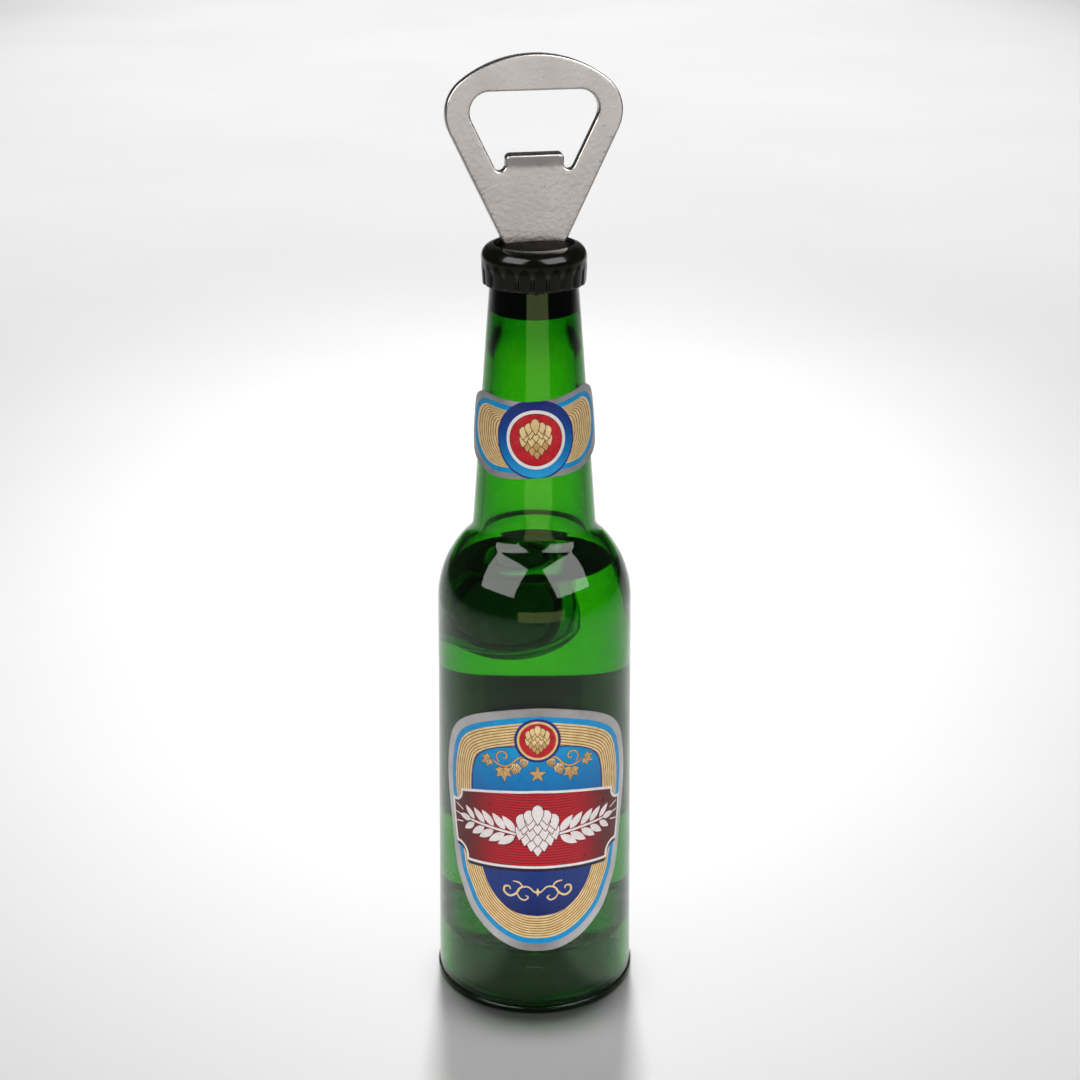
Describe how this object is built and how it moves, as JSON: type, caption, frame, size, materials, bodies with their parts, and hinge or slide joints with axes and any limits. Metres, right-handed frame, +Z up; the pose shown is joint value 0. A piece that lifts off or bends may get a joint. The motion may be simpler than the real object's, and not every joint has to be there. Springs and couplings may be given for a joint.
{
  "type": "souvenir bottle opener",
  "caption": "Bottle-shaped souvenir opener: plastic bottle filled with clear liquid, lipped base, fluted cap holding a flat steel opener plate, curved labels and a magnet in a pocket at the back.",
  "frame": {"origin": "centre of the base on the surface it stands on", "axes": "+Z up the bottle's axis to the opener plate, +Y out of the magnet at the back, +X along the plate's width"},
  "size_m": [0.0322, 0.0322, 0.15],
  "materials": {
    "bottle_body": "translucent green moulded plastic, glossy",
    "base_cap": "translucent green moulded plastic, glossy",
    "crown_cap": "black moulded plastic, glossy",
    "opener_plate": "tumbled stamped steel, satin",
    "magnet": "ground ferrite, matt dark grey",
    "magnet_glue": "clear yellowish adhesive",
    "filling_liquid": "clear liquid",
    "front_label": "printed foil sticker with a silver edge",
    "neck_label": "printed foil sticker with a silver edge",
    "back_label": "plain printed foil sticker"
  },
  "bodies": {
    "root": {"bottle_body": "bottle_body", "base_cap": "base_cap", "crown_cap": "crown_cap", "opener_plate": "opener_plate", "magnet": "magnet", "magnet_glue": "magnet_glue", "filling_liquid": "filling_liquid", "front_label": "front_label", "neck_label": "neck_label", "back_label": "back_label"}
  },
  "joints": []
}
